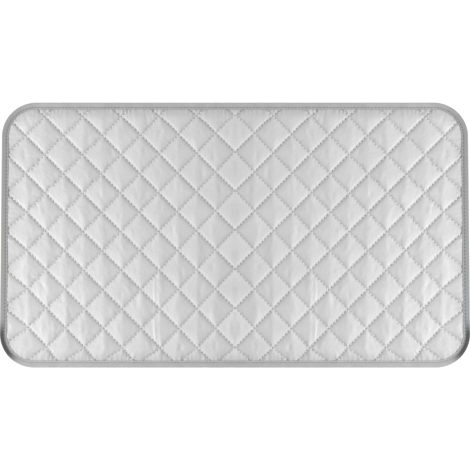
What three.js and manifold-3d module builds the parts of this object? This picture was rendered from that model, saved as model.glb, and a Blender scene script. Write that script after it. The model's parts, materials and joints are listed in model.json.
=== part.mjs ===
// A quilted ironing pad that folds in thirds, lying flat with its silver side up.
// Millimetres. X runs along the pad, Y across it, Z up. The origin is under the pad's centre, on the floor.
import * as THREE from "three";
import { mergeGeometries, mergeVertices } from "three/addons/utils/BufferGeometryUtils.js";
import Module from "manifold-3d";

const wasm = await Module();
wasm.setup();

// Outline
const PAD_LENGTH = 850;
const PAD_WIDTH = 482;
const CORNER_RADIUS = 62;
const MIDDLE_PANEL_LENGTH = 290; // between the two fold lines
const FOLD_GAP = 0.6; // between two panels at a fold line

// Cloth layers
const BACKING_THICKNESS = 0.5;
const COVER_THICKNESS = 0.5;
const BOUND_WADDING = 0.5; // wadding left inside the binding
const LAYER_GAP = 0.3; // between any two layers

// Quilting
const PUFF_HEIGHT = 4.5; // from a quilting line to the crown of a diamond
const DIAMOND_LENGTH = 69.2; // along X, from corner to corner
const DIAMOND_WIDTH = 69.5; // along Y, from corner to corner
const QUILT_SHIFT = 7; // of the crossing nearest the centre, along +Y
const SHOULDER_REACH = 0.5; // share of the way from a diamond's centre to its edge
const SHOULDER_HEIGHT = 0.72; // share of the puff height there
const EDGE_RUN = 10; // over which the puffs rise from the binding

// Binding tape and its seam
const TAPE_WIDTH = 12.5; // of each of its two laps
const TAPE_THICKNESS = 0.6;
const SEAM_LIP = 3.5; // of tape between the binding seam and the tape's inner edge
const JOGGLE_RUN = 2; // over which the backing climbs onto the lower lap

// Sewing thread
const THREAD_WIDTH = 0.8;
const THREAD_THICKNESS = 0.4;

// Facets
const CORNER_STEPS = 8;
const NOSE_STEPS = 3; // for each quarter of the binding's rounded edge

// Heights of the layers inside the binding
const boundBackingBottom = TAPE_THICKNESS + LAYER_GAP;
const boundBackingTop = boundBackingBottom + BACKING_THICKNESS;
const boundWaddingTop = boundBackingTop + LAYER_GAP + BOUND_WADDING;
const boundCoverTop = boundWaddingTop + LAYER_GAP + COVER_THICKNESS;
const tapeTop = boundCoverTop + LAYER_GAP + TAPE_THICKNESS;

// Heights in the quilted middle, where the quilting draws the cover down level with its bound edge
const quiltedWaddingBottom = BACKING_THICKNESS + LAYER_GAP;
const sewnCoverTop = boundCoverTop;
const crownTop = sewnCoverTop + PUFF_HEIGHT;
const beyond = crownTop; // by which a cutting solid passes what it cuts

// The sides of a diamond: their distance from its centre, and how steeply the cover climbs from them
const sideDistance = (DIAMOND_LENGTH * DIAMOND_WIDTH) / 2 / Math.hypot(DIAMOND_LENGTH, DIAMOND_WIDTH);
const channelSlope = (PUFF_HEIGHT * SHOULDER_HEIGHT) / (sideDistance * (1 - SHOULDER_REACH));

// The puffs of the cover, and the plainer ones of the wadding that fit under them
const coverPuff = { shoulder: SHOULDER_HEIGHT * PUFF_HEIGHT, crown: PUFF_HEIGHT };
const waddingPuff = { crown: PUFF_HEIGHT * Math.min(1, SHOULDER_HEIGHT / (1 - SHOULDER_REACH)) };

// Distances in from the outer edge
const noseRadius = tapeTop / 2;
const layerInset = noseRadius; // the layers' cut edge, inside the folded tape
const quiltInset = TAPE_WIDTH + LAYER_GAP; // where the binding ends and the quilting shows
const crownInset = quiltInset + EDGE_RUN;
const flatInset = quiltInset + JOGGLE_RUN; // where the backing lies on the floor
const seamInset = TAPE_WIDTH - SEAM_LIP;

// A closed solid from a geometry whose faces point outwards.
function solidOf(geometry) {
  const bare = geometry.clone();
  bare.deleteAttribute("normal");
  bare.deleteAttribute("uv");
  const merged = mergeVertices(bare, 1e-4);
  return new wasm.Manifold(
    new wasm.Mesh({
      numProp: 3,
      vertProperties: merged.getAttribute("position").array,
      triVerts: new Uint32Array(merged.index.array),
    }),
  );
}

// A solid's surface as a geometry to draw.
function geometryOf(solid) {
  const mesh = solid.getMesh();
  const geometry = new THREE.BufferGeometry();
  geometry.setAttribute("position", new THREE.BufferAttribute(mesh.vertProperties, 3));
  geometry.setIndex(new THREE.BufferAttribute(mesh.triVerts, 1));
  const faceted = geometry.toNonIndexed();
  faceted.computeVertexNormals();
  return faceted;
}

// A solid from triangles given as triples of points.
function solidOfTriangles(triangles) {
  const numbers = triangles.flat().flatMap((point) => point.toArray());
  const geometry = new THREE.BufferGeometry();
  geometry.setAttribute("position", new THREE.Float32BufferAttribute(numbers, 3));
  return solidOf(geometry);
}

// The pad's rounded outline, drawn in by an inset, at one height, counter-clockwise from above.
// No corner turns more tightly than the tape is thick.
function outlineRing(inset, height) {
  const radius = Math.max(CORNER_RADIUS - inset, TAPE_THICKNESS);
  const centreX = PAD_LENGTH / 2 - inset - radius;
  const centreY = PAD_WIDTH / 2 - inset - radius;
  const centres = [
    [centreX, centreY],
    [-centreX, centreY],
    [-centreX, -centreY],
    [centreX, -centreY],
  ];
  return centres.flatMap(([x, y], corner) =>
    Array.from({ length: CORNER_STEPS + 1 }, (_, step) => {
      const angle = (corner + step / CORNER_STEPS) * (Math.PI / 2);
      return new THREE.Vector3(x + radius * Math.cos(angle), y + radius * Math.sin(angle), height);
    }),
  );
}

// A solid whose skin runs through outlines, each an [inset, height], from its underside to its top.
function loft(outlines) {
  const rings = outlines.map(([inset, height]) => outlineRing(inset, height));
  const triangles = [];
  rings.slice(1).forEach((upper, index) => {
    const lower = rings[index];
    lower.forEach((start, k) => {
      const next = (k + 1) % lower.length;
      triangles.push([start, lower[next], upper[next]], [start, upper[next], upper[k]]);
    });
  });
  const bottom = rings[0];
  const top = rings[rings.length - 1];
  const bottomCentre = new THREE.Vector3(0, 0, bottom[0].z);
  const topCentre = new THREE.Vector3(0, 0, top[0].z);
  bottom.forEach((start, k) => {
    const next = (k + 1) % bottom.length;
    triangles.push([bottomCentre, bottom[next], start], [topCentre, top[k], top[next]]);
  });
  return solidOfTriangles(triangles);
}

// A block between two corners.
function block(low, high) {
  const size = new THREE.Vector3().subVectors(high, low);
  const middle = new THREE.Vector3().addVectors(low, high).multiplyScalar(0.5);
  const geometry = new THREE.BoxGeometry(size.x, size.y, size.z);
  return solidOf(geometry.translate(middle.x, middle.y, middle.z));
}

// The diamonds that cover the pad, as [column, row] in half diamonds from the crossing nearest the centre.
function diamondPlaces() {
  const columns = Math.ceil(PAD_LENGTH / DIAMOND_LENGTH) + 1;
  const rows = Math.ceil((PAD_WIDTH / 2 + Math.abs(QUILT_SHIFT)) / (DIAMOND_WIDTH / 2)) + 1;
  const places = [];
  for (let column = -columns; column <= columns; column += 1) {
    for (let row = -rows; row <= rows; row += 1) {
      if ((column + row) % 2 !== 0) places.push([column, row]);
    }
  }
  return places;
}

// A point of the quilting in half diamonds, at one height.
function quiltPoint(column, row, height) {
  return new THREE.Vector3((column * DIAMOND_LENGTH) / 2, QUILT_SHIFT + (row * DIAMOND_WIDTH) / 2, height);
}

// The corners of a diamond's outline, drawn in towards its centre by a share.
function diamondRing([column, row], reach, height) {
  const corners = [
    [1, 0],
    [0, 1],
    [-1, 0],
    [0, -1],
  ];
  return corners.map(([x, y]) => quiltPoint(column + x * reach, row + y * reach, height));
}

// Everything under a quilted face that is lowered by a drop, with a shoulder on each puff or none.
function quiltedBlock(drop, puff) {
  const seamHeight = sewnCoverTop - drop;
  const triangles = [];
  const walls = new Map();
  for (const place of diamondPlaces()) {
    const seam = diamondRing(place, 1, seamHeight);
    const shoulder = puff.shoulder && diamondRing(place, SHOULDER_REACH, seamHeight + puff.shoulder);
    const crown = quiltPoint(...place, seamHeight + puff.crown);
    const under = diamondRing(place, 1, -beyond);
    triangles.push([under[0], under[2], under[1]], [under[0], under[3], under[2]]);
    for (let k = 0; k < 4; k += 1) {
      const next = (k + 1) % 4;
      if (shoulder) {
        triangles.push([seam[k], seam[next], shoulder[next]], [seam[k], shoulder[next], shoulder[k]]);
        triangles.push([shoulder[k], shoulder[next], crown]);
      } else {
        triangles.push([seam[k], seam[next], crown]);
      }
      // A side that two diamonds share needs no wall.
      const middle = seam[k].clone().add(seam[next]).toArray();
      const side = middle.map((value) => value.toFixed(2)).join();
      if (!walls.delete(side)) {
        walls.set(side, [
          [under[k], under[next], seam[next]],
          [under[k], seam[next], seam[k]],
        ]);
      }
    }
  }
  return solidOfTriangles([...triangles, ...[...walls.values()].flat()]);
}

// Everything under the cover's face when that is lowered by a drop: flat in the binding, then quilted.
// The margin is how far it goes past the layers' cut edge and floor.
function underCover(drop, puff, margin = 0) {
  const limit = loft([
    [layerInset - margin, -beyond / 2 - margin],
    [layerInset - margin, boundCoverTop - drop],
    [quiltInset, boundCoverTop - drop],
    [crownInset, crownTop + LAYER_GAP - drop],
  ]);
  return quiltedBlock(drop, puff).intersect(limit);
}

// The silver cover.
function coverSheet() {
  return underCover(0, coverPuff).subtract(underCover(COVER_THICKNESS, coverPuff, LAYER_GAP));
}

// The backing, flat on the floor and lifted onto the binding's lower lap round its edge.
function backingSheet() {
  return loft([
    [flatInset, 0],
    [quiltInset, boundBackingBottom],
    [layerInset, boundBackingBottom],
    [layerInset, boundBackingTop],
    [quiltInset, boundBackingTop],
    [flatInset, BACKING_THICKNESS],
  ]);
}

// The wadding, between the backing and the cover.
function waddingSheet() {
  const belowWadding = loft([
    [-beyond, -beyond],
    [-beyond, boundBackingTop + LAYER_GAP],
    [quiltInset, boundBackingTop + LAYER_GAP],
    [flatInset, quiltedWaddingBottom],
  ]);
  return underCover(COVER_THICKNESS + LAYER_GAP, waddingPuff).subtract(belowWadding);
}

// Half of the rounded edge of the binding, as [inset, height] from its lower (-1) or upper (1) lap outwards.
function halfEdge(radius, side) {
  return Array.from({ length: NOSE_STEPS + 1 }, (_, step) => {
    const angle = (step / NOSE_STEPS) * (Math.PI / 2);
    return [noseRadius - radius * Math.sin(angle), noseRadius + side * radius * Math.cos(angle)];
  });
}

// The binding tape, folded round the cut edges of the three layers.
function bindingTape() {
  const edge = (radius) => [...halfEdge(radius, -1), ...halfEdge(radius, 1).reverse().slice(1)];
  const inside = loft(edge(noseRadius - TAPE_THICKNESS));
  const window = loft([
    [TAPE_WIDTH, -beyond],
    [TAPE_WIDTH, beyond],
  ]);
  return loft(edge(noseRadius)).subtract(inside).subtract(window);
}

// The visible thread of the seam that holds the binding.
function bindingSeam() {
  const bottom = tapeTop + LAYER_GAP;
  const outer = loft([
    [seamInset - THREAD_WIDTH / 2, bottom],
    [seamInset - THREAD_WIDTH / 2, bottom + THREAD_THICKNESS],
  ]);
  const inner = loft([
    [seamInset + THREAD_WIDTH / 2, 0],
    [seamInset + THREAD_WIDTH / 2, bottom + beyond],
  ]);
  return outer.subtract(inner);
}

// The quilting threads in the channels of the cover, as one net: a thin plate with the diamonds cut out.
function quiltingNet() {
  const bottom = sewnCoverTop + LAYER_GAP + (channelSlope * THREAD_WIDTH) / 2;
  const plate = loft([
    [quiltInset, bottom],
    [quiltInset, bottom + THREAD_THICKNESS],
  ]);
  const reach = 1 - THREAD_WIDTH / 2 / sideDistance;
  const openings = diamondPlaces().map((place) => {
    const corners = diamondRing(place, reach, 0).map(({ x, y }) => new THREE.Vector2(x, y));
    return new THREE.ExtrudeGeometry(new THREE.Shape(corners), { depth: bottom + beyond, bevelEnabled: false });
  });
  return plate.subtract(solidOf(mergeGeometries(openings)));
}

// The largest of the pieces that a cut leaves.
function largestOf(solid) {
  return solid.decompose().reduce((best, piece) => (piece.volume() > best.volume() ? piece : best));
}

// Materials, from the photograph
const silverCloth = new THREE.MeshStandardMaterial({ color: 0xd0d0d0, roughness: 0.45, metalness: 0.3 });
const whiteWadding = new THREE.MeshStandardMaterial({ color: 0xececea, roughness: 0.95, metalness: 0 });
const greyLining = new THREE.MeshStandardMaterial({ color: 0xbdbdbd, roughness: 0.85, metalness: 0 });
const greyTape = new THREE.MeshStandardMaterial({ color: 0x9c9c9c, roughness: 0.8, metalness: 0 });
const greyThread = new THREE.MeshStandardMaterial({ color: 0x8e8e8e, roughness: 0.7, metalness: 0 });

// The whole layers, before the fold lines part them
const cover = coverSheet();
const wadding = waddingSheet();
const backing = backingSheet();
const tape = bindingTape();
const seam = bindingSeam();
const net = quiltingNet();

// The space between two places along X and two across Y, right through the pad.
function space(fromX, toX, fromY, toY) {
  return block(new THREE.Vector3(fromX, fromY, -beyond), new THREE.Vector3(toX, toY, crownTop + beyond));
}

const farX = PAD_LENGTH / 2 + beyond;
const farY = PAD_WIDTH / 2 + beyond;
const innerX = (MIDDLE_PANEL_LENGTH - FOLD_GAP) / 2;
const outerX = (MIDDLE_PANEL_LENGTH + FOLD_GAP) / 2;
const panels = {
  left: space(-farX, -outerX, -farY, farY),
  middle: space(-innerX, innerX, -farY, farY),
  right: space(outerX, farX, -farY, farY),
};
const edges = {
  left: { left: panels.left },
  middle: { front: space(-innerX, innerX, -farY, 0), rear: space(-innerX, innerX, 0, farY) },
  right: { right: panels.right },
};

const pad = new THREE.Group();

function addPiece(group, name, solid, material) {
  const mesh = new THREE.Mesh(geometryOf(solid), material);
  mesh.name = name;
  group.add(mesh);
}

for (const [side, panelSpace] of Object.entries(panels)) {
  const panel = new THREE.Group();
  addPiece(panel, `top_cover_${side}`, cover.intersect(panelSpace), silverCloth);
  addPiece(panel, `wadding_${side}`, wadding.intersect(panelSpace), whiteWadding);
  addPiece(panel, `backing_${side}`, backing.intersect(panelSpace), greyLining);
  addPiece(panel, `quilting_thread_${side}`, largestOf(net.intersect(panelSpace)), greyThread);
  for (const [edge, edgeSpace] of Object.entries(edges[side])) {
    addPiece(panel, `binding_${edge}`, tape.intersect(edgeSpace), greyTape);
    addPiece(panel, `binding_seam_${edge}`, seam.intersect(edgeSpace), greyThread);
  }
  pad.add(panel);
}

export default pad;
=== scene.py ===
"""A quilted ironing pad: a silver cover, wadding and a lining, sewn in diamonds and bound with tape."""

import functools
import json
import math
import random

import bmesh
import bpy
from mathutils import Matrix, Vector, noise


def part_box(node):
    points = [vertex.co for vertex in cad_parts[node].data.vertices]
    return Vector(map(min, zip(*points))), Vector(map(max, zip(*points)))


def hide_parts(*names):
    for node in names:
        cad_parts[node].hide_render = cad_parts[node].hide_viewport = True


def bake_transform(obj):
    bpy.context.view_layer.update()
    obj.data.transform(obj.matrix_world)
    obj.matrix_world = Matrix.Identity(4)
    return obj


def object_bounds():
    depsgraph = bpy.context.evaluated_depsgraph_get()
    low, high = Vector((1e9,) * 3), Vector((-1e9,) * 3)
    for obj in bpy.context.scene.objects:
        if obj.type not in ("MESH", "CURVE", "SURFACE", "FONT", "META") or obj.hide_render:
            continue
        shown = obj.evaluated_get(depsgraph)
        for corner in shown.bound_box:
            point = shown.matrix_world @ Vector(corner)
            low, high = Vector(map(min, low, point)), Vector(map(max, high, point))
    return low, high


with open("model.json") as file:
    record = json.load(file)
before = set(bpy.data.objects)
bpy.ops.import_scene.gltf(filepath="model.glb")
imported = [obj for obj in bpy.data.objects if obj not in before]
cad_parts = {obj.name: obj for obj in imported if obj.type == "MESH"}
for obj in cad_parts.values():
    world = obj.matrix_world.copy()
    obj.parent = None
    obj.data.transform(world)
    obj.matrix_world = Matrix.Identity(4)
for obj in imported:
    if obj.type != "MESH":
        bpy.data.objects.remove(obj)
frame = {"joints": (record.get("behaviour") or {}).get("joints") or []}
cad_low, cad_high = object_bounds()

# Sizes of the quilting and the binding, in metres
MM = 0.001
DIAMOND_LENGTH = 69.2 * MM
DIAMOND_WIDTH = 69.5 * MM
QUILT_SHIFT = 7 * MM
CORNER_RADIUS = 62 * MM
CLOTH_THICKNESS = 0.5 * MM
LAYER_GAP = 0.3 * MM
TAPE_THICKNESS = 0.6 * MM
SEAM_INSET = 9 * MM

# How far the sewing strays from an even lattice. It is drawn in towards the middle, more at the ends and
# the front. In the middle it is raised, and spread to the front and the rear, but it sags between there
# and the ends. It wavers, and it is held at the binding.
STRAY_ENDS = 4.3 * MM
STRAY_INWARD = 0.7 * MM
INWARD_FULL = 0.4  # share of the way to an end
STRAY_SKEW = 5 * MM
STRAY_RISE = 1.1 * MM
STRAY_SPREAD = 5.4 * MM
STRAY_SAG = 10.5 * MM
STRAY_WAVER = 2.5 * MM
WAVER_PITCH = 9 * MM
STRAY_FREE = 35 * MM

# Places that the frame gives
half_length = cad_high.x
half_width = cad_high.y
layer_inset = half_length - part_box("top_cover_right")[1].x
crown_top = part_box("top_cover_middle")[1].z
sewn_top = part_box("top_cover_middle")[0].z + CLOTH_THICKNESS
bound_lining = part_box("backing_middle")[1].z - CLOTH_THICKNESS
tape_low, tape_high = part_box("binding_front")
tape_width = tape_high.y - tape_low.y
tape_top = tape_high.z
nose_radius = tape_top / 2
joints = {joint["name"]: joint for joint in frame["joints"]}
left_fold = joints["fold_left"]["pos_m"][0]

# The quilting: stitches to a side of a diamond, and cells of cloth to a side, of which the two beside the
# stitching are halved. The cloth is cut with some slack, uneven from place to place, and shaken a little
# before it swells.
STITCHES_PER_SIDE = 7
CELLS_PER_SIDE = 21
ROWS_PER_SIDE = CELLS_PER_SIDE + 2
CORNER_CUTS = 12
CUT_TOLERANCE = 0.01 * MM
QUILT_SPAN = (-10, 5)  # in diamonds, along each way that the stitching runs
SLACK_ACROSS = 0.024
SLACK_ALONG = 0.012
SLACK_WANDER = 1 * MM
SLACK_PITCH = 60 * MM
SEWN_REACH = 0.1 * MM
SHAKE = 0.1 * MM
SWELL_FRAMES = 20
SWELL_SEED = 7
puff_height = crown_top - sewn_top
side_to_side = DIAMOND_LENGTH * DIAMOND_WIDTH / math.hypot(DIAMOND_LENGTH, DIAMOND_WIDTH)

# The folds: half the width of the cloth that bends at each, how far apart its cuts are there, how many
# are made to each side of the fold, and how near a cut lies to the cells that it may pass through
FOLD_BANDS = {"left": 4 * MM, "right": 6 * MM}
FOLD_CUT = 0.8 * MM
FOLD_CUTS = 7
FOLD_CELL = 4 * MM

# Layers of the noise, so that no two of its uses are alike
PUCKER_LAYER = 0.3
TAPE_LAYER = 2
GATHER_LAYER = 5
PATCH_LAYER = 9
CREASE_LAYER = 10


# Places on the pad

def smooth_step(low, high, value):
    """0 before low, 1 after high, and a smooth rise between them."""
    share = min(max((value - low) / (high - low), 0), 1)
    return share * share * (3 - 2 * share)


def smooth_least(one, two, rounding):
    """The smaller of two values, with the corner between them rounded off."""
    share = min(max(0.5 + (two - one) / (2 * rounding), 0), 1)
    return two + (one - two) * share - rounding * share * (1 - share)


def quilt_place(x, y):
    """A point counted in diamonds along the two ways that the stitching runs."""
    across = x / DIAMOND_LENGTH
    up = (y - QUILT_SHIFT) / DIAMOND_WIDTH
    return across + up, across - up


def quilt_point(rise, fall):
    """The point at a count of diamonds along each way that the stitching runs."""
    x = DIAMOND_LENGTH / 2 * (rise + fall)
    y = QUILT_SHIFT + DIAMOND_WIDTH / 2 * (rise - fall)
    return x, y


def diamond_column(x, y):
    """The column of the diamond that a point lies in: 0 in the middle of the pad, less to its left."""
    rise, fall = quilt_place(x, y)
    return math.floor(rise) + math.floor(fall) + 1


def nearest_stitching(x, y):
    """How far the nearest line of stitching is, the place along it in diamonds, and the way it runs."""
    rise, fall = quilt_place(x, y)
    off_rise = abs(rise - round(rise))
    off_fall = abs(fall - round(fall))
    if off_rise < off_fall:
        return off_rise * side_to_side, fall, "falling"
    return off_fall * side_to_side, rise, "rising"


def inset(x, y):
    """How far a point lies inside the pad's outline."""
    past_x = abs(x) - (half_length - CORNER_RADIUS)
    past_y = abs(y) - (half_width - CORNER_RADIUS)
    if past_x > 0 and past_y > 0:
        return CORNER_RADIUS - math.hypot(past_x, past_y)
    return CORNER_RADIUS - max(past_x, past_y)


def sewn_place(x, y):
    """Where a point of the even lattice is really sewn."""
    end = abs(x) / half_length
    rear = y / half_width
    inward = STRAY_ENDS * end * end + smooth_step(0, INWARD_FULL, end) * (STRAY_INWARD - STRAY_SKEW * rear)
    upward = (1 - end) * (STRAY_RISE + STRAY_SPREAD * rear - STRAY_SAG * end)
    waver = STRAY_WAVER * end * noise.noise(Vector((x, y, 0)) / WAVER_PITCH)
    free = smooth_step(tape_width, tape_width + STRAY_FREE, inset(x, y))
    return x - math.copysign(inward * free, x) - waver * free, y + (upward + waver) * free


front_run = half_length - CORNER_RADIUS
side_run = 2 * (half_width - CORNER_RADIUS)
corner_run = CORNER_RADIUS * math.pi / 2
edge_length = 2 * front_run + 2 * corner_run + side_run


def edge_point(along, depth):
    """A point of the left half's edge and its heading, by the way round from the middle of the front."""
    corner_x = -front_run
    corner_y = half_width - CORNER_RADIUS
    if along < front_run:
        return -along, depth - half_width, math.pi
    if along < front_run + corner_run:
        turn = (along - front_run) / CORNER_RADIUS
        reach = CORNER_RADIUS - depth
        return corner_x - reach * math.sin(turn), -corner_y - reach * math.cos(turn), math.pi - turn
    if along < front_run + corner_run + side_run:
        return depth - half_length, along - front_run - corner_run - corner_y, math.pi / 2
    if along < front_run + 2 * corner_run + side_run:
        turn = (along - front_run - corner_run - side_run) / CORNER_RADIUS
        reach = CORNER_RADIUS - depth
        return corner_x - reach * math.cos(turn), corner_y + reach * math.sin(turn), math.pi / 2 - turn
    return along - edge_length, half_width - depth, 0.0


# Making and joining pieces

RIM_ANGLE = math.radians(50)


def new_piece(name, bm, material, sharp=RIM_ANGLE):
    """A finished piece at the origin, with its mesh, smooth faces and sharp rims."""
    for face in bm.faces:
        face.smooth = True
    for edge in bm.edges:
        edge.smooth = edge.calc_face_angle(0) < sharp
    mesh = bpy.data.meshes.new(name)
    bm.to_mesh(mesh)
    bm.free()
    mesh.materials.append(material)
    piece = bpy.data.objects.new(name, mesh)
    bpy.context.scene.collection.objects.link(piece)
    return piece


def close_sheet(bm, underside):
    """Give a sheet its underside, whose points stand under the sheet's own, and a rim."""
    lower = bm.verts[:]
    places = [underside(vert) for vert in lower]
    bmesh.ops.extrude_face_region(bm, geom=bm.faces[:] + bm.edges[:] + lower, use_keep_orig=True)
    for vert, place in zip(lower, places):
        vert.co = place
    bmesh.ops.recalc_face_normals(bm, faces=bm.faces[:])


def mirrored(bm):
    """A copy of the left half's mesh for the right half."""
    copy = bm.copy()
    bmesh.ops.scale(copy, vec=(-1, 1, 1), verts=copy.verts[:])
    bmesh.ops.reverse_faces(copy, faces=copy.faces[:])
    copy.normal_update()
    return copy


def follow_fold(piece, side, slot, kind):
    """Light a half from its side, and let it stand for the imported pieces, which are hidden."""
    lit_from[side].objects.link(piece)
    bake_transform(piece)
    inner = ("front", "rear") if kind.startswith("binding") else ("middle",)
    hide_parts(*[f"{kind}_{place}" for place in (side, *inner)])


# The quilted sheet, from which the cover, the wadding and the lining are made

def cut(bm, faces, outward, point, clear):
    """Cut faces along an upright plane, and clear what is beyond it if asked."""
    edges = {edge for face in faces for edge in face.edges}
    verts = {vert for face in faces for vert in face.verts}
    geom = list(faces) + list(edges) + list(verts)
    bmesh.ops.bisect_plane(
        bm, geom=geom, dist=CUT_TOLERANCE, plane_co=point, plane_no=outward, clear_outer=clear
    )


def trim_to_outline(bm, margin):
    """Cut a sheet of the left half to the pad's outline, drawn in by a margin."""
    cut(bm, bm.faces[:], (-1, 0, 0), (margin - half_length, 0, 0), True)
    for side in (-1, 1):
        cut(bm, bm.faces[:], (0, side, 0), (0, side * (half_width - margin), 0), True)
    for side in (-1, 1):
        centre = Vector((CORNER_RADIUS - half_length, side * (half_width - CORNER_RADIUS), 0))
        for step in range(1, CORNER_CUTS):
            angle = math.pi / 2 * step / CORNER_CUTS
            outward = Vector((-math.cos(angle), side * math.sin(angle), 0))
            corner = []
            for face in bm.faces:
                middle = face.calc_center_bounds()
                if middle.x < centre.x and middle.y * side > centre.y * side:
                    corner.append(face)
            cut(bm, corner, outward, centre + (CORNER_RADIUS - margin) * outward, True)


def cloth_row(place):
    """The place of a row of cloth, in diamonds. The rows beside the stitching are drawn close to it."""
    diamond, row = divmod(round(place * ROWS_PER_SIDE), ROWS_PER_SIDE)
    cells = row - 1
    if row < 2:
        cells = row / 2
    elif row > CELLS_PER_SIDE:
        cells = CELLS_PER_SIDE - (ROWS_PER_SIDE - row) / 2
    return diamond + cells / CELLS_PER_SIDE


def flat_quilt():
    """The flat cloth of the left half and the middle column, in cells that follow the stitching."""
    low, high = QUILT_SPAN
    count = (high - low) * ROWS_PER_SIDE
    middle = (low + high) / 2
    half = Vector((DIAMOND_LENGTH / 2, DIAMOND_WIDTH / 2))
    lattice = Matrix((
        (half.x, -half.x, 0, 0),
        (half.y, half.y, 0, QUILT_SHIFT),
        (0, 0, 1, sewn_top),
        (0, 0, 0, 1),
    ))
    centre = Matrix.Translation((middle, -middle, 0))
    bm = bmesh.new()
    bmesh.ops.create_grid(bm, x_segments=count, y_segments=count, size=(high - low) / 2, matrix=centre)
    for vert in bm.verts:
        vert.co.xy = cloth_row(vert.co.x), cloth_row(vert.co.y)
    bmesh.ops.transform(bm, matrix=lattice, verts=bm.verts[:])
    beyond = [face for face in bm.faces if diamond_column(*face.calc_center_bounds().xy) > 0]
    bmesh.ops.delete(bm, geom=beyond, context="FACES")
    trim_to_outline(bm, layer_inset)
    return bm


def is_sewn(x, y):
    """Whether the cloth is held there, by a stitch line or by the binding."""
    return nearest_stitching(x, y)[0] < SEWN_REACH or inset(x, y) < SEAM_INSET


def simulated_places(bm):
    """Where the cloth of a sheet goes when the wadding pushes it up between its stitches."""
    shaker = random.Random(SWELL_SEED)
    sewn = bm.verts.layers.deform.verify()
    slack = []
    for vert in bm.verts:
        x, y = vert.co.xy
        if is_sewn(x, y):
            vert[sewn][0] = 1.0
        else:
            vert.co.z += SHAKE * shaker.random()
        wander = noise.noise_vector(Vector((x, y, 0)) / SLACK_PITCH) * SLACK_WANDER
        slack += [x * (1 + SLACK_ACROSS) + wander.x, y * (1 + SLACK_ALONG) + wander.y, vert.co.z]
    mesh = bpy.data.meshes.new("slack_cloth")
    bm.to_mesh(mesh)
    cloth = bpy.data.objects.new("slack_cloth", mesh)
    bpy.context.scene.collection.objects.link(cloth)
    cloth.vertex_groups.new(name="sewn")
    cloth.shape_key_add(name="flat")
    cut_size = cloth.shape_key_add(name="cut_size")
    cut_size.data.foreach_set("co", slack)
    swell = cloth.modifiers.new("swell", "CLOTH")
    settings = swell.settings
    settings.quality = 5
    settings.mass = 0.15
    settings.tension_stiffness = 15
    settings.compression_stiffness = 15
    settings.shear_stiffness = 5
    settings.bending_stiffness = 0.5
    settings.vertex_group_mass = "sewn"
    settings.rest_shape_key = cut_size
    settings.use_pressure = True
    settings.uniform_pressure_force = 4
    settings.effector_weights.gravity = 0
    swell.collision_settings.use_collision = False
    swell.point_cache.frame_start = 1
    swell.point_cache.frame_end = SWELL_FRAMES
    for step in range(1, SWELL_FRAMES + 1):
        bpy.context.scene.frame_set(step)
    swollen = cloth.evaluated_get(bpy.context.evaluated_depsgraph_get())
    places = [vert.co.copy() for vert in swollen.data.vertices]
    bpy.context.scene.frame_set(1)
    bpy.data.objects.remove(cloth)
    return places


# The rise of the cover. It is fuller in the middle of the pad than at the ends, and goes from the foot of
# a groove up to a crown, with room above it for wrinkles. By the binding it rises from the seam, under the
# tape's lip and then clear of it. The few highest places of the cloth don't count for its full height.
MIDDLE_TO_END = (60 * MM, 220 * MM)
COUNTED_SHARE = 0.995
PUSH_LIMIT = 1.04
PUFF_ROUNDING = (0.40, 0.55)
GROOVE_FOOT = 3.2 * MM
PLAIN_CROWN = 0.9
CROWN_ROOM = 0.2 * MM
CROWN_ROUNDING = 1.0 * MM
EDGE_RISE = 24 * MM
LIP_RISE = 0.7 * MM
LIP_SLOPE = 0.35

# The crown of a diamond: an upright ridge that strays, leans and bends, and is calmer at the rear
RIDGE_STRAY = 2.5 * MM
RIDGE_LEAN = 0.15
RIDGE_BEND = 3 * MM
RIDGE_SHARE = (0.3, 0.65)
RIDGE_ROUNDING = (0.10, 0.35)
RIDGE_CALM = 0.5
CALM_RUN = (-60 * MM, 160 * MM)
RIDGE_TIP = 0.01  # least share of a diamond's width

# The wrinkles of a diamond: how many, where they lie, how they slant and how large they are
WRINKLE_COUNTS = (1, 1, 2, 2, 3)
WRINKLE_SPREAD = 8 * MM
WRINKLE_SLANT = (0.06, 0.2)  # mean and spread
WRINKLE_HEIGHT = (0.4 * MM, 1.1 * MM)
WRINKLE_LENGTH = (7 * MM, 14 * MM)
WRINKLE_WIDTH = 3.6 * MM

# The marks of the sewing: painted shade beside the binding, painted shade in the grooves and along the
# stitching, dips at the needle holes, and puckers. The lines that fall towards the middle dip deeper at
# their holes and take darker painted shade there, and none between the holes.
SHADE_BESIDE_BINDING = 24 * MM
GROOVE_SHADE = 0.15
GROOVE_WIDTH = 4.5 * MM
LINE_WIDTH = 0.8 * MM
HOLE_DEPTH = {"falling": 0.45 * MM, "rising": 0.18 * MM}
LINE_SHADE = {"falling": 0.0, "rising": 0.5}
HOLE_SHADE = {"falling": 1.6, "rising": 0.25}
PUCKER_HEIGHT = 0.25 * MM
PUCKER_REACH = 2.2 * MM
PUCKER_STRENGTH = 0.6
PUCKER_CHANGE = 0.8
PUCKER_PITCH = 12 * MM

# The creases of the storage folds: two lines by each fold, towards the front and by the rear edge
HELD_REACH = 3.5 * MM
CREASE_LINES = ((4 * MM, 1.0), (-5 * MM, 0.75))
CREASE_HEIGHT = 0.9 * MM
CREASE_WIDTH = 1.4 * MM
CREASE_WANDER = 3 * MM
CREASE_PITCH = 45 * MM
CREASE_FRONT = (-40 * MM, -110 * MM)
CREASE_REAR = (185 * MM, 222 * MM)

# The gathers beside the binding, which come in patches and crowd beside the stitching
GATHER_HEIGHT = 2.6 * MM
GATHER_PITCH = 9 * MM
GATHER_REACH = 10 * MM
GATHER_HELD = 1.5 * MM
GATHER_SPREAD = 8 * MM
GATHER_CROWDING = 0.5
GATHER_JITTER = 0.8
JITTER_PITCH = 25 * MM
PATCH_LENGTH = 18 * MM
PATCH_DRIFT = 90 * MM
PATCH_SHARE = 0.5


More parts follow.
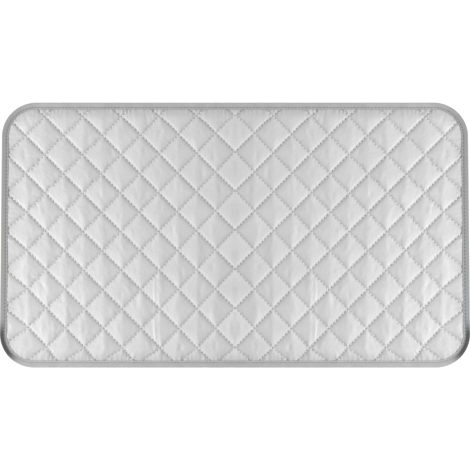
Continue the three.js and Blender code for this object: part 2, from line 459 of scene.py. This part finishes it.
def lip_rise(depth):
    """How much higher the tape's lip stands than its seam."""
    return LIP_RISE * smooth_step(SEAM_INSET, tape_width, depth)


@functools.cache
def crown_of(rise, fall):
    """How the ridge and the wrinkles of one diamond lie."""
    draw = random.Random(f"crown {rise} {fall}")
    crown = {
        "stray": draw.gauss(0, RIDGE_STRAY),
        "lean": draw.uniform(-RIDGE_LEAN, RIDGE_LEAN),
        "bend": draw.uniform(-RIDGE_BEND, RIDGE_BEND),
        "share": draw.uniform(*RIDGE_SHARE),
        "rounding": draw.uniform(*RIDGE_ROUNDING),
        "wrinkles": [],
    }
    for _ in range(draw.choice(WRINKLE_COUNTS)):
        crown["wrinkles"].append({
            "across": draw.gauss(0, WRINKLE_SPREAD),
            "up": draw.gauss(0, WRINKLE_SPREAD),
            "slant": draw.gauss(*WRINKLE_SLANT),
            "height": draw.choice((-1, 1)) * draw.uniform(*WRINKLE_HEIGHT),
            "length": draw.uniform(*WRINKLE_LENGTH),
        })
    return crown


def wrinkle_height(wrinkle, across, up):
    """The height of one wrinkle at a place in its diamond."""
    right = across - wrinkle["across"]
    above = up - wrinkle["up"]
    off = right * math.cos(wrinkle["slant"]) + above * math.sin(wrinkle["slant"])
    along = above * math.cos(wrinkle["slant"]) - right * math.sin(wrinkle["slant"])
    return wrinkle["height"] * math.exp(-((off / WRINKLE_WIDTH) ** 2) - (along / wrinkle["length"]) ** 2)


def crown_shape(x, y):
    """What share of its height a diamond's ridge leaves a point, and how high its wrinkles are there."""
    rise, fall = quilt_place(-abs(x), y)
    crown = crown_of(math.floor(rise), math.floor(fall))
    across = (rise % 1 + fall % 1 - 1) * DIAMOND_LENGTH / 2
    up = (rise % 1 - fall % 1) * DIAMOND_WIDTH / 2
    reach = max(1 - 2 * abs(up) / DIAMOND_WIDTH, RIDGE_TIP)
    half = reach * DIAMOND_LENGTH / 2
    ridge = (crown["stray"] + crown["lean"] * up + crown["bend"] * (1 - reach)) * reach
    from_left = (half + across) / (half + ridge)
    from_right = (half - across) / (half - ridge)
    tent = smooth_least(from_left, from_right, crown["rounding"])
    liveliness = 1 - RIDGE_CALM * smooth_step(*CALM_RUN, y)
    share = crown["share"] * liveliness
    wrinkles = sum(wrinkle_height(wrinkle, across, up) for wrinkle in crown["wrinkles"])
    return 1 - share + share * tent, wrinkles


def needle_hole(place):
    """How near a place along the stitching is to a needle hole, from 0 to 1."""
    return 0.5 + 0.5 * math.cos(2 * math.pi * STITCHES_PER_SIDE * place)


def pucker(x, y):
    """The dips at the needle holes and the small puckers beside a line of stitching."""
    distance, place, way = nearest_stitching(x, y)
    hole = needle_hole(place)
    reach = distance / PUCKER_REACH
    change = noise.noise(Vector((x, y, PUCKER_LAYER)) / PUCKER_PITCH)
    strength = PUCKER_STRENGTH + PUCKER_CHANGE * change
    ripple = PUCKER_HEIGHT * strength * reach * math.exp(1 - reach)
    return (1 - 2 * hole) * ripple - HOLE_DEPTH[way] * hole * math.exp(-reach * reach)


def clear_of_stitches(x, y, reach):
    """0 on a line of stitching, and 1 away from it."""
    return 1 - math.exp(-((nearest_stitching(x, y)[0] / reach) ** 2))


def crease(x, y):
    """How much of the storage fold's creases shows at a point."""
    ridge = 0.0
    for beside, strength in CREASE_LINES:
        wander = CREASE_WANDER * noise.noise(Vector((0, y / CREASE_PITCH, strength * CREASE_LAYER)))
        off = abs(x) - abs(left_fold) - beside + wander
        ridge = max(ridge, strength * math.exp(-abs(off) / CREASE_WIDTH))
    shown = max(smooth_step(*CREASE_FRONT, y), smooth_step(*CREASE_REAR, y))
    return ridge * shown * clear_of_stitches(x, y, HELD_REACH)


def gather(x, y, depth):
    """The height of the small gathers of the cover beside the binding, which run square to its edge."""
    by_long_edge = half_width - abs(y) < half_length - abs(x)
    along = -abs(x) if by_long_edge else y
    jitter = GATHER_JITTER * noise.noise(Vector((along / JITTER_PITCH, 0, GATHER_LAYER)))
    ridge = 0.5 + 0.5 * math.cos(2 * math.pi * (along / GATHER_PITCH + jitter))
    patch = noise.noise(Vector((along / PATCH_LENGTH, y / PATCH_DRIFT, PATCH_LAYER))) + PATCH_SHARE
    strength = min(max(patch, 0), 1)
    strength *= 1 + GATHER_CROWDING - clear_of_stitches(x, y, GATHER_SPREAD)
    reach = math.exp(-max(depth - tape_width, 0) / GATHER_REACH)
    return GATHER_HEIGHT * ridge * strength * reach * clear_of_stitches(x, y, GATHER_HELD)


def end_share(x):
    """0 in the middle of the pad and 1 at its ends."""
    return smooth_step(*MIDDLE_TO_END, abs(x))


def cover_height(x, y, push):
    """How high the cover stands over its stitches, where the wadding pushes it up by that share."""
    depth = inset(x, y)
    distance = nearest_stitching(x, y)[0]
    rounding = PUFF_ROUNDING[0] + (PUFF_ROUNDING[1] - PUFF_ROUNDING[0]) * end_share(x)
    lift = min(max(push, 0), PUSH_LIMIT) ** rounding * smooth_step(0, GROOVE_FOOT, distance)
    share, wrinkle = crown_shape(x, y)
    height = lift * (PLAIN_CROWN * puff_height * share + wrinkle)
    height += pucker(x, y) + CREASE_HEIGHT * crease(x, y)
    height = smooth_least(height, puff_height + CROWN_ROOM, CROWN_ROUNDING)
    edge = min(max((depth - SEAM_INSET) / EDGE_RISE, 0), 1)
    past_tape = max(depth - tape_width, 0)
    height = min(height * edge * (2 - edge), lip_rise(depth) + past_tape * LIP_SLOPE)
    return min(height + gather(x, y, depth), lip_rise(depth) + past_tape)


def marks_at(x, y):
    """How much shade is painted on the cover at a point along its sewing and beside the binding, and how
    much the storage folds mark it.
    """
    distance, along, way = nearest_stitching(x, y)
    line = math.exp(-distance / LINE_WIDTH)
    sewing = line * (LINE_SHADE[way] + HOLE_SHADE[way] * needle_hole(along))
    sewing += end_share(x) * GROOVE_SHADE * math.exp(-((distance / GROOVE_WIDTH) ** 2))
    # Painted shade on the cover beside the binding, fading away inwards
    clear = smooth_step(tape_width, tape_width + SHADE_BESIDE_BINDING, inset(x, y))
    return sewing, crease(x, y), 1 - clear


def swell(bm):
    """Move a flat sheet to the swollen cover's face. It keeps its flat places and its marks as layers."""
    flat = bm.verts.layers.float_vector.new("cloth_place")
    marks = bm.verts.layers.float_vector.new("cloth_marks")
    for vert in bm.verts:
        vert[flat] = vert.co
    places = simulated_places(bm)
    heights = sorted(place.z - sewn_top for place in places)
    tallest = heights[int(COUNTED_SHARE * len(heights))]
    for vert, place in zip(bm.verts, places):
        x, y, _ = vert[flat]
        height = cover_height(x, y, (place.z - sewn_top) / tallest)
        sewn_x, sewn_y = sewn_place(x, y)
        vert.co = Vector((place.x - x + sewn_x, place.y - y + sewn_y, sewn_top + height))
        vert[marks] = marks_at(x, y)
    for step in range(-FOLD_CUTS, FOLD_CUTS + 1):
        line = left_fold + step * FOLD_CUT
        near = [face for face in bm.faces if abs(face.calc_center_bounds().x - line) < FOLD_CELL]
        cut(bm, near, (1, 0, 0), (line, 0, 0), False)
    cut(bm, bm.faces[:], (1, 0, 0), (0, 0, 0), True)
    bm.normal_update()


# The lining: the width and the sharpness of its channels, and how far it climbs to the binding
LINING_CHANNEL = 5 * MM
CHANNEL_SHARPNESS = 1.5
LINING_CLIMB = 4 * MM


def lining_height(x, y):
    """How high the lining's underside is: on the table, but up at the stitches and in the binding."""
    distance = nearest_stitching(x, y)[0]
    channel = math.exp(-((distance / LINING_CHANNEL) ** CHANNEL_SHARPNESS))
    edge = 1 - smooth_step(tape_width, tape_width + LINING_CLIMB, inset(x, y))
    return bound_lining * max(channel, edge)


def half_of(sheet, side):
    """A copy of the left half's sheet for one half."""
    return sheet.copy() if side == "left" else mirrored(sheet)


STITCHED_ANGLE = math.radians(24)  # past which the cover's edges are sharp


def silver_cover(sheet, side, material):
    """One half of the silver cover."""
    bm = half_of(sheet, side)
    close_sheet(bm, lambda vert: vert.co - CLOTH_THICKNESS * vert.normal)
    piece = new_piece(f"silver_cover_{side}_half", bm, material, STITCHED_ANGLE)
    follow_fold(piece, side, "silver_cloth", "top_cover")


def wadding_layer(sheet, side, material):
    """One half of the wadding, which fills the space between the cover and the lining."""
    bm = half_of(sheet, side)
    flat = bm.verts.layers.float_vector["cloth_place"]
    for vert in bm.verts:
        vert.co -= (CLOTH_THICKNESS + LAYER_GAP) * vert.normal

    def underside(vert):
        x, y, _ = vert[flat]
        return Vector((vert.co.x, vert.co.y, lining_height(x, y) + CLOTH_THICKNESS + LAYER_GAP))

    close_sheet(bm, underside)
    piece = new_piece(f"wadding_{side}_half", bm, material)
    follow_fold(piece, side, "wadding", "wadding")


def lining_layer(sheet, side, material):
    """One half of the lining that the pad lies on."""
    bm = half_of(sheet, side)
    flat = bm.verts.layers.float_vector["cloth_place"]
    sign = 1 if side == "left" else -1
    for vert in bm.verts:
        x, y, _ = vert[flat]
        sewn_x, sewn_y = sewn_place(x, y)
        vert.co = Vector((sign * sewn_x, sewn_y, lining_height(x, y) + CLOTH_THICKNESS))
    bm.normal_update()
    close_sheet(bm, lambda vert: vert.co - CLOTH_THICKNESS * Vector((0, 0, 1)))
    piece = new_piece(f"lining_{side}_half", bm, material)
    follow_fold(piece, side, "lining", "backing")


# The binding tape: its seam, whose dip and painted shade are weaker at the front and stronger at the ends,
# and the painted shade on its front corners, by share of the corner's run and by depth

SECTION_STEPS = 30
SEAM_PITCH = 6.35 * MM
STEPS_PER_STITCH = 5
SEAM_DIP = 0.2 * MM
SEAM_DIP_WIDTH = 1.1 * MM
FRONT_SEAM_DIP_AND_SHADE = 0.45
SIDE_SEAM_DIP_AND_SHADE = 1.0
REAR_SEAM_DIP_AND_SHADE = 0.65
SEAM_BETWEEN_HOLES = 0.12
CORNER_DARKENS = (0.28, 0.6)
CORNER_CLEARS = (0.95, 1.3)
CORNER_DEPTH = (6.5 * MM, 9.5 * MM)
TAPE_WAVE = 0.25 * MM
WAVE_PITCH = 30 * MM
lap_width = tape_width - nose_radius
section_length = 2 * lap_width + math.pi * nose_radius


def seam_dip_and_shade(along, depth):
    """How deep the seam dips a point of a lap and how much shade is painted there, from 0 to 1: most at its
    holes and along the ends.
    """
    hole = (0.5 + 0.5 * math.cos(2 * math.pi * along / SEAM_PITCH)) ** 2
    past_front = smooth_step(front_run, front_run + corner_run, along)
    past_side = smooth_step(front_run + corner_run + side_run, edge_length - front_run, along)
    dip_and_shade_by_run = FRONT_SEAM_DIP_AND_SHADE + (SIDE_SEAM_DIP_AND_SHADE - FRONT_SEAM_DIP_AND_SHADE) * past_front
    dip_and_shade_by_run += (REAR_SEAM_DIP_AND_SHADE - SIDE_SEAM_DIP_AND_SHADE) * past_side
    bite = SEAM_BETWEEN_HOLES + (1 - SEAM_BETWEEN_HOLES) * hole
    return dip_and_shade_by_run * bite * math.exp(-(((depth - SEAM_INSET) / SEAM_DIP_WIDTH) ** 2))


def painted_corner_shade(along, depth):
    """How much shade is painted on the rim of the tape round a front corner, from 0 to 1."""
    turn = (along - front_run) / corner_run
    run = smooth_step(*CORNER_DARKENS, turn) * (1 - smooth_step(*CORNER_CLEARS, turn))
    return run * (1 - smooth_step(*CORNER_DEPTH, depth))


def tape_wave(along):
    """The slow rise and fall of the tape along the edge."""
    return TAPE_WAVE * noise.noise(Vector((along / WAVE_PITCH, 0, TAPE_LAYER)))


def tape_section(across):
    """The depth and height of the folded tape's face, by the way across it from its upper inner edge."""
    if across < lap_width:
        return tape_width - across, tape_top
    if across > section_length - lap_width:
        return tape_width - (section_length - across), 0.0
    turn = (across - lap_width) / nose_radius
    return nose_radius - nose_radius * math.sin(turn), nose_radius + nose_radius * math.cos(turn)


def binding_tape():
    """The tape of the left half, folded round the edge of the layers, as a closed mesh."""
    bm = bmesh.new()
    count = round(edge_length / SEAM_PITCH) * STEPS_PER_STITCH
    flat = Matrix.Diagonal((edge_length, section_length, 1, 1)) @ Matrix.Translation((0.5, 0.5, 0))
    bmesh.ops.create_grid(bm, x_segments=count, y_segments=SECTION_STEPS, size=0.5, matrix=flat)
    place = bm.verts.layers.float_vector.new("tape_place")
    marks = bm.verts.layers.float_vector.new("tape_marks")
    for vert in bm.verts:
        along, across, _ = vert.co
        depth, height = tape_section(across)
        x, y, heading = edge_point(along, depth)
        seam = seam_dip_and_shade(along, depth)
        lift = tape_wave(along) * smooth_step(0, tape_width, depth) + lip_rise(depth)
        upper = across < section_length / 2
        height += lift - SEAM_DIP * seam if upper else SEAM_DIP * seam
        vert[place] = (along, across, 0)
        # The marks: painted shade of the seam, painted shade on the front corners, and painted shade along
        # the ends
        vert[marks] = (seam, painted_corner_shade(along, depth), abs(math.sin(heading)))
        vert.co = Vector((x, y, height))
    bm.normal_update()
    upper_face = max(bm.faces, key=lambda face: face.calc_center_bounds().z)
    if upper_face.normal.z < 0:
        bmesh.ops.reverse_faces(bm, faces=bm.faces[:])
        bm.normal_update()
    close_sheet(bm, lambda vert: vert.co - TAPE_THICKNESS * vert.normal)
    return bm


# The stitches: their length, width and height, how far their ends go down, how high they lie over the
# cloth, and how near the tape the quilting ends

STITCH_SHAPE = {"quilting": (4.9 * MM, 1.5 * MM, 0.9 * MM), "seam": (4.4 * MM, 0.7 * MM, 0.6 * MM)}
STITCH_DROOP = 1.6
COVER_STITCH_LIFT = 0.35 * MM
LINING_STITCH_LIFT = 0.1 * MM
TAPE_STITCH_LIFT = 0.1 * MM
STITCH_CLEAR = 2 * MM
STITCH_SEGMENTS = 6
STITCH_RINGS = 6


def stitch_row(places, shape):
    """A mesh of many stitches of one shape, each at a place, with its ends drawn into the cloth."""
    length, width, height = shape
    bm = bmesh.new()
    lie = bm.verts.layers.float_vector.new("thread_place")
    turned = Matrix.Rotation(math.pi / 2, 4, "Y")
    bmesh.ops.create_uvsphere(
        bm, u_segments=STITCH_SEGMENTS, v_segments=STITCH_RINGS, radius=0.5, matrix=turned
    )
    for vert in bm.verts:
        x, y, z = vert.co
        vert[lie] = (x * length, math.atan2(y, z) * width / 2, 0)
        vert.co = Vector((x * length, y * width, (z - STITCH_DROOP * x * x) * height))
    number = bm.verts.layers.int.new("stitch_number")
    made = 1
    while made < len(places):
        copies = bmesh.ops.duplicate(bm, geom=bm.verts[:] + bm.edges[:] + bm.faces[:])["geom"]
        for copy in copies:
            if isinstance(copy, bmesh.types.BMVert):
                copy[number] += made
        made *= 2
    spare = [vert for vert in bm.verts if vert[number] >= len(places)]
    bmesh.ops.delete(bm, geom=spare, context="VERTS")
    for vert in bm.verts:
        vert.co = places[vert[number]] @ vert.co
    return bm


def stitch_places(rows, lift, over):
    """Where the stitches of a row lie, on top (1) or underneath (-1), by point, heading and height."""
    flip = Matrix.Identity(4) if over > 0 else Matrix.Rotation(math.pi, 4, "X")
    places = []
    for x, y, heading, height in rows:
        turn = Matrix.Rotation(heading, 4, "Z")
        places.append(Matrix.Translation((x, y, height + over * lift)) @ turn @ flip)
    return places


def quilting_rows(shift):
    """The quilting stitches left of the middle, along both ways of the stitching."""
    low, high = QUILT_SPAN
    rows = []
    for line in range(low, high + 1):
        for count in range(low * STITCHES_PER_SIDE, high * STITCHES_PER_SIDE):
            place = (count + shift) / STITCHES_PER_SIDE
            for rise, fall, slant in ((line, place, -1), (place, line, 1)):
                x, y = quilt_point(rise, fall)
                if x < 0 and inset(x, y) > tape_width + STITCH_CLEAR:
                    rows.append((*sewn_place(x, y), slant * math.atan2(DIAMOND_WIDTH, DIAMOND_LENGTH)))
    return rows


def quilting_stitches():
    """The quilting thread of the left half, on the cover and under the lining."""
    over = [(x, y, heading, sewn_top) for x, y, heading in quilting_rows(0.5)]
    under = [(x, y, heading, bound_lining) for x, y, heading in quilting_rows(0)]
    places = stitch_places(over, COVER_STITCH_LIFT, 1) + stitch_places(under, LINING_STITCH_LIFT, -1)
    return stitch_row(places, STITCH_SHAPE["quilting"])


def seam_stitches():
    """The thread of the binding's seam on the left half, on both laps of the tape."""
    over = []
    under = []
    for count in range(int(edge_length / SEAM_PITCH)):
        along = (count + 0.5) * SEAM_PITCH
        x, y, heading = edge_point(along, SEAM_INSET)
        dip = SEAM_DIP * seam_dip_and_shade(along, SEAM_INSET)
        lift = tape_wave(along) * smooth_step(0, tape_width, SEAM_INSET)
        over.append((x, y, heading, tape_top + lift - dip))
        under.append((x, y, heading, dip))
    places = stitch_places(over, TAPE_STITCH_LIFT, 1) + stitch_places(under, 0, -1)
    return stitch_row(places, STITCH_SHAPE["seam"])


# Materials

def grey(value):
    """A neutral colour."""
    return (value, value, value)


class Finish:
    """A material whose nodes are made one after another."""

    def __init__(self, name, roughness, metallic=0.0, specular=0.5):
        self.material = bpy.data.materials.new(name)
        self.material.use_nodes = True
        self.tree = self.material.node_tree
        self.shader = self.tree.nodes["Principled BSDF"]
        self.shader.inputs["Roughness"].default_value = roughness
        self.shader.inputs["Metallic"].default_value = metallic
        self.shader.inputs["Specular IOR Level"].default_value = specular

    def node(self, kind, links=None, values=None, **settings):
        """A node with its settings, its values, and links to its sockets from other nodes' outputs."""
        made = self.tree.nodes.new(kind)
        for key, value in settings.items():
            setattr(made, key, value)
        for key, value in (values or {}).items():
            made.inputs[key].default_value = value
        for key, output in (links or {}).items():
            self.tree.links.new(output, made.inputs[key])
        return made

    def math(self, operation, *values, **settings):
        """The output of a Math node on outputs or numbers."""
        made = self.node("ShaderNodeMath", operation=operation, **settings)
        for socket, value in zip(made.inputs, values):
            if isinstance(value, (int, float)):
                socket.default_value = value
            else:
                self.tree.links.new(value, socket)
        return made.outputs[0]

    def place(self, attribute):
        """The vector that a mesh attribute holds."""
        return self.node("ShaderNodeAttribute", attribute_name=attribute).outputs["Vector"]

    def parts(self, vector):
        """The X, Y and Z of a vector."""
        return self.node("ShaderNodeSeparateXYZ", {0: vector}).outputs

    def noise(self, vector, scale, detail=3.0):
        """The value of a noise of that scale."""
        values = {"Scale": scale, "Detail": detail}
        return self.node("ShaderNodeTexNoise", {"Vector": vector}, values).outputs["Fac"]

    def ramp(self, factor, dark, pale, stops=(0.3, 0.7)):
        """A grey from dark to pale, as the factor goes from the first stop to the second."""
        made = self.node("ShaderNodeValToRGB", {"Fac": factor})
        for element, position, value in zip(made.color_ramp.elements, stops, (dark, pale)):
            element.position = position
            element.color = (*grey(value), 1)
        return made.outputs["Color"]

    def bands(self, wave, dark, pale):
        """A grey from dark to pale, as a wave goes from -1 to 1."""
        return self.ramp(self.math("MULTIPLY_ADD", wave, 0.5, 0.5), dark, pale, stops=(0.0, 1.0))

    def blend(self, factor, first, second, mode="MIX"):
        """The mix of two colour outputs, or of an output and a plain colour."""
        made = self.node("ShaderNodeMix", data_type="RGBA", blend_type=mode)
        for key, value in ((0, factor), (6, first), (7, second)):
            if isinstance(value, tuple):
                made.inputs[key].default_value = (*value, 1)
            elif isinstance(value, (int, float)):
                made.inputs[key].default_value = value
            else:
                self.tree.links.new(value, made.inputs[key])
        return made.outputs[2]

    def mark(self, base, where, strength, shade):
        """A colour with a grey laid over it at that strength where the surface is marked."""
        return self.blend(self.math("MULTIPLY", where, strength), base, grey(shade))

    def wave(self, place, pitch):
        """A wave of that pitch in metres, from -1 to 1."""
        return self.math("SINE", self.math("MULTIPLY", place, 2 * math.pi / pitch))

    def weave(self, vector, pitch):
        """The height of a plain weave of that pitch in metres."""
        values = {1: (math.pi / pitch,) * 3}
        turned = self.node("ShaderNodeVectorMath", {0: vector}, values, operation="MULTIPLY").outputs[0]
        threads = self.parts(turned)
        return self.math("MULTIPLY", self.math("SINE", threads["X"]), self.math("SINE", threads["Y"]))

    def bump(self, height, distance, strength=1.0, after=None):
        """A bump of that height in metres, over an earlier one if given."""
        links = {"Height": height}
        if after:
            links["Normal"] = after
        values = {"Distance": distance, "Strength": strength}
        return self.node("ShaderNodeBump", links, values).outputs[0]

    def finish(self, colour, normal, roughness=None):
        """Join the colour, the bump and any changing roughness to the shader."""
        self.tree.links.new(colour, self.shader.inputs["Base Color"])
        self.tree.links.new(normal, self.shader.inputs["Normal"])
        if roughness:
            self.tree.links.new(roughness, self.shader.inputs["Roughness"])
        return self.material


def silver_cloth():
    """Silver-coated cloth: a satin face with a fine weave, with shade painted in the stitch lines and
    beside the binding.
    """
    finish = Finish("silver_cloth", roughness=0.6, metallic=0.1, specular=0.3)
    place = finish.place("cloth_place")
    marks = finish.parts(finish.place("cloth_marks"))
    base = finish.ramp(finish.noise(place, scale=22), dark=0.62, pale=0.67)
    # Painted shade beside the binding
    base = finish.mark(base, marks["Z"], strength=0.4, shade=0.45)
    # Painted shade in the grooves, along the stitching and at the needle holes
    base = finish.mark(base, marks["X"], strength=0.45, shade=0.18)
    base = finish.mark(base, marks["Y"], strength=0.6, shade=0.80)
    weave = finish.weave(place, pitch=0.45 * MM)
    normal = finish.bump(weave, distance=0.03 * MM, strength=0.5)
    crumple = finish.noise(place, scale=170, detail=2)
    normal = finish.bump(crumple, distance=0.7 * MM, after=normal)
    grain = finish.noise(place, scale=650, detail=2)
    normal = finish.bump(grain, distance=0.2 * MM, strength=0.8, after=normal)
    spread = finish.ramp(finish.noise(place, scale=60), dark=0.55, pale=0.65)
    return finish.finish(base, normal, spread)


def grey_tape():
    """Woven grey tape with ribs across it, with painted shade along the ends, in the seam and on the front
    corners.
    """
    finish = Finish("grey_tape", roughness=0.7)
    place = finish.place("tape_place")
    ribs = finish.wave(finish.parts(place)["X"], pitch=0.9 * MM)
    marks = finish.parts(finish.place("tape_marks"))
    base = finish.ramp(finish.noise(place, scale=60), dark=0.46, pale=0.52)
    # Painted shade: the runs along the pad's ends are darker than those at the front and the rear
    base = finish.mark(base, marks["Z"], strength=0.8, shade=0.30)
    base = finish.blend(1.0, base, finish.bands(ribs, dark=0.85, pale=1.0), "MULTIPLY")
    # Painted shade in the seam's dip and needle holes
    base = finish.mark(base, marks["X"], strength=0.95, shade=0.06)
    # Painted shade on the rim of the tape round the front corners
    base = finish.mark(base, marks["Y"], strength=0.95, shade=0.05)
    normal = finish.bump(ribs, distance=0.08 * MM, strength=0.6)
    fibres = finish.noise(place, scale=1500, detail=2)
    normal = finish.bump(fibres, distance=0.06 * MM, strength=0.5, after=normal)
    return finish.finish(base, normal)


def sewing_thread(name, dark, pale):
    """Twisted thread, between two greys."""
    finish = Finish(name, roughness=0.55)
    parts = finish.parts(finish.place("thread_place"))
    twist = finish.wave(finish.math("ADD", parts["X"], parts["Y"]), pitch=0.7 * MM)
    base = finish.bands(twist, dark, pale)
    normal = finish.bump(twist, distance=0.08 * MM, strength=0.7)
    return finish.finish(base, normal)


def plain_lining():
    """Matt woven lining."""
    finish = Finish("plain_lining", roughness=0.85)
    place = finish.place("cloth_place")
    marks = finish.parts(finish.place("cloth_marks"))
    base = finish.ramp(finish.noise(place, scale=30), dark=0.50, pale=0.56)
    # Painted shade along the stitching, from the same marks as the cover's
    base = finish.mark(base, marks["X"], strength=0.4, shade=0.36)
    weave = finish.weave(place, pitch=0.6 * MM)
    base = finish.blend(1.0, base, finish.bands(weave, dark=0.86, pale=1.0), "MULTIPLY")
    normal = finish.bump(weave, distance=0.06 * MM, strength=0.6)
    return finish.finish(base, normal)


def fibre_wadding():
    """White fibre wadding."""
    finish = Finish("fibre_wadding", roughness=0.95)
    place = finish.place("cloth_place")
    fibres = finish.noise(place, scale=500, detail=4)
    base = finish.ramp(fibres, dark=0.70, pale=0.82)
    normal = finish.bump(fibres, distance=0.4 * MM, strength=0.6)
    return finish.finish(base, normal)


# The studio

PHOTO_PIXELS = 470
PAD_PIXELS = 468.1
SENSOR_WIDTH = 36.0  # millimetres, as the lens
CAMERA_DISTANCE = 3.0
CAMERA_TILT = math.radians(4.05)
VIEW_CENTRE = Vector((0, -0.85 * MM, 0))
LAMP_PLACE = Vector((1.6, -0.42, 0.62))
LAMP_SIZE = 0.45
LAMP_POWER = 17.0
WORLD_LEVEL = 0.78
FLOOR_REACH = 6
FLOOR_DROP = 0.4 * MM
FLOOR_GREY = 0.8
SHADOW_GREY = 0.45
FLOOR_GLOW = 0.68
lit_from = {side: bpy.data.collections.new(f"lit_from_{side}") for side in FOLD_BANDS}


def add_camera():
    """A camera nearly straight above the pad, a little towards its front edge."""
    camera = bpy.data.cameras.new("camera")
    camera.sensor_width = SENSOR_WIDTH
    seen = 2 * half_length * PHOTO_PIXELS / PAD_PIXELS
    camera.lens = SENSOR_WIDTH * CAMERA_DISTANCE / seen
    holder = bpy.data.objects.new("camera", camera)
    away = Vector((0, -math.sin(CAMERA_TILT), math.cos(CAMERA_TILT)))
    holder.location = VIEW_CENTRE + CAMERA_DISTANCE * away
    holder.rotation_euler = (CAMERA_TILT, 0, 0)
    bpy.context.scene.collection.objects.link(holder)
    bpy.context.scene.camera = holder


def add_lamps():
    """Two soft lamps, low beside the two ends, each for its own half of the pad."""
    for side, lit in lit_from.items():
        lamp = bpy.data.lights.new("studio_lamp", "AREA")
        lamp.shape = "DISK"
        lamp.size = LAMP_SIZE
        lamp.energy = LAMP_POWER
        holder = bpy.data.objects.new("studio_lamp", lamp)
        holder.location = LAMP_PLACE * Vector((-1 if side == "left" else 1, 1, 1))
        holder.rotation_euler = (-holder.location).to_track_quat("-Z", "Y").to_euler()
        holder.light_linking.receiver_collection = lit
        bpy.context.scene.collection.objects.link(holder)


def add_world():
    """Even grey light from all round."""
    world = bpy.data.worlds.new("studio")
    world.use_nodes = True
    background = world.node_tree.nodes["Background"]
    background.inputs["Color"].default_value = (*grey(WORLD_LEVEL), 1)
    bpy.context.scene.world = world


def pale_floor():
    """A floor that looks white, and still takes the pad's shadow."""
    finish = Finish("pale_floor", roughness=1.0)
    nodes = finish.tree.nodes
    nodes.remove(finish.shader)
    plain = finish.node("ShaderNodeBsdfDiffuse", values={"Color": (*grey(FLOOR_GREY), 1)})
    shadowed = finish.node("ShaderNodeBsdfDiffuse", values={"Color": (*grey(SHADOW_GREY), 1)})
    glow = finish.node("ShaderNodeEmission", values={"Strength": FLOOR_GLOW})
    white = finish.node("ShaderNodeAddShader", {0: shadowed.outputs[0], 1: glow.outputs[0]})
    light = finish.node("ShaderNodeLightPath").outputs
    seen = finish.math("ADD", light["Is Camera Ray"], light["Is Glossy Ray"])
    seen = finish.math("ADD", seen, light["Is Transmission Ray"], use_clamp=True)
    shown = finish.node("ShaderNodeMixShader", {0: seen, 1: plain.outputs[0], 2: white.outputs[0]})
    finish.tree.links.new(shown.outputs[0], nodes["Material Output"].inputs["Surface"])
    return finish.material


def add_floor():
    """A wide floor just under the pad's lowest stitches."""
    bm = bmesh.new()
    place = Matrix.Translation((0, 0, -FLOOR_DROP))
    bmesh.ops.create_grid(bm, x_segments=1, y_segments=1, size=FLOOR_REACH, matrix=place)
    floor = new_piece("floor", bm, pale_floor())
    for lit in lit_from.values():
        lit.objects.link(floor)


# The pad

add_camera()
add_lamps()
add_world()
add_floor()
bpy.context.scene.view_settings.view_transform = "Standard"

quilt = flat_quilt()
swell(quilt)
layers = (
    (wadding_layer, fibre_wadding()),
    (lining_layer, plain_lining()),
    (silver_cover, silver_cloth()),
)
for make_layer, material in layers:
    for side in FOLD_BANDS:
        make_layer(quilt, side, material)
quilt.free()

pale_thread = sewing_thread("pale_thread", dark=0.78, pale=0.92)
# The seam's grey thread is darker than the tape, partly as painted shade along the seam
grey_thread = sewing_thread("grey_thread", dark=0.28, pale=0.40)
rows = (
    ("binding_tape", binding_tape(), grey_tape(), "tape", "binding"),
    ("quilting_stitches", quilting_stitches(), pale_thread, "thread", "quilting_thread"),
    ("seam_stitches", seam_stitches(), grey_thread, "thread", "binding_seam"),
)
for name, left_mesh, material, slot, kind in rows:
    for side, mesh in (("right", mirrored(left_mesh)), ("left", left_mesh)):
        piece = new_piece(f"{name}_{side}_half", mesh, material)
        follow_fold(piece, side, slot, kind)
